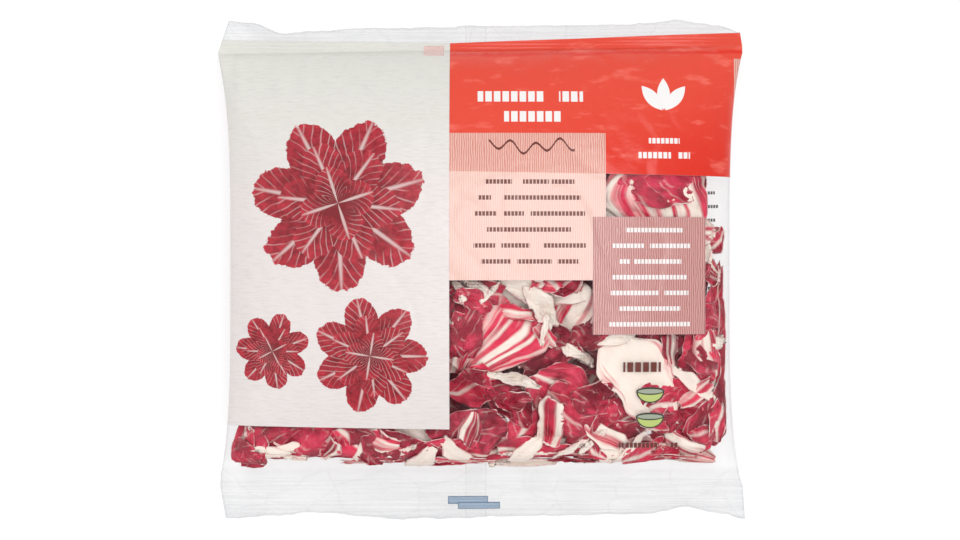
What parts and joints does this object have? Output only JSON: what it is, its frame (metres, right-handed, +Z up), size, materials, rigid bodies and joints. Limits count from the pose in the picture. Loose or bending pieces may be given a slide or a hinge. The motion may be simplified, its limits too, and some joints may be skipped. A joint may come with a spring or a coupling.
{
  "type": "bag of cut salad leaves",
  "caption": "Sealed see-through film pillow bag with crimped ends and a lap seam down its back, filled with cut red chicory leaves and white ribs, lying on its back.",
  "frame": {"origin": "under the middle of the bag, on the surface that its back lies on", "axes": "+X across the bag to its right as seen from the printed front, +Y along it towards the top seal, +Z up, out of the printed front"},
  "size_m": [0.2504, 0.237, 0.048],
  "materials": {
    "film": "clear film",
    "red_leaf": "waxy leaf",
    "white_rib": "waxy rib"
  },
  "bodies": {
    "root": {"film_bag": "film", "leaf_blade_04": "red_leaf", "leaf_blade_05": "red_leaf", "leaf_blade_06": "red_leaf", "leaf_blade_07": "red_leaf", "leaf_blade_11": "red_leaf", "leaf_blade_12": "red_leaf", "leaf_blade_13": "red_leaf", "leaf_blade_16": "red_leaf", "leaf_blade_17": "red_leaf", "leaf_blade_18": "red_leaf", "leaf_blade_21": "red_leaf", "leaf_blade_24": "red_leaf", "leaf_blade_25": "red_leaf", "leaf_blade_26": "red_leaf", "leaf_blade_28": "red_leaf", "leaf_blade_29": "red_leaf", "leaf_blade_41": "red_leaf", "leaf_blade_43": "red_leaf", "leaf_blade_45": "red_leaf", "leaf_blade_46": "red_leaf", "leaf_blade_48": "red_leaf", "leaf_blade_50": "red_leaf", "leaf_blade_61": "red_leaf", "leaf_blade_63": "red_leaf", "leaf_blade_65": "red_leaf", "leaf_blade_66": "red_leaf", "leaf_blade_68": "red_leaf", "leaf_blade_70": "red_leaf", "leaf_blade_71": "red_leaf", "leaf_blade_73": "red_leaf", "leaf_blade_75": "red_leaf", "leaf_blade_76": "red_leaf", "leaf_blade_78": "red_leaf", "leaf_blade_80": "red_leaf", "rib_strip_08": "white_rib", "ribbed_blade_03": "red_leaf", "ribbed_blade_09": "red_leaf", "ribbed_blade_19": "red_leaf", "ribbed_blade_44": "red_leaf", "ribbed_blade_49": "red_leaf", "ribbed_blade_64": "red_leaf", "ribbed_blade_69": "red_leaf", "ribbed_blade_74": "red_leaf", "ribbed_blade_79": "red_leaf", "white_rib_01": "white_rib", "white_rib_02": "white_rib", "white_rib_10": "white_rib", "white_rib_14": "white_rib", "white_rib_15": "white_rib", "white_rib_20": "white_rib", "white_rib_22": "white_rib", "white_rib_23": "white_rib", "white_rib_27": "white_rib", "white_rib_42": "white_rib", "white_rib_47": "white_rib", "white_rib_62": "white_rib", "white_rib_67": "white_rib", "white_rib_72": "white_rib", "white_rib_77": "white_rib"}
  },
  "joints": []
}
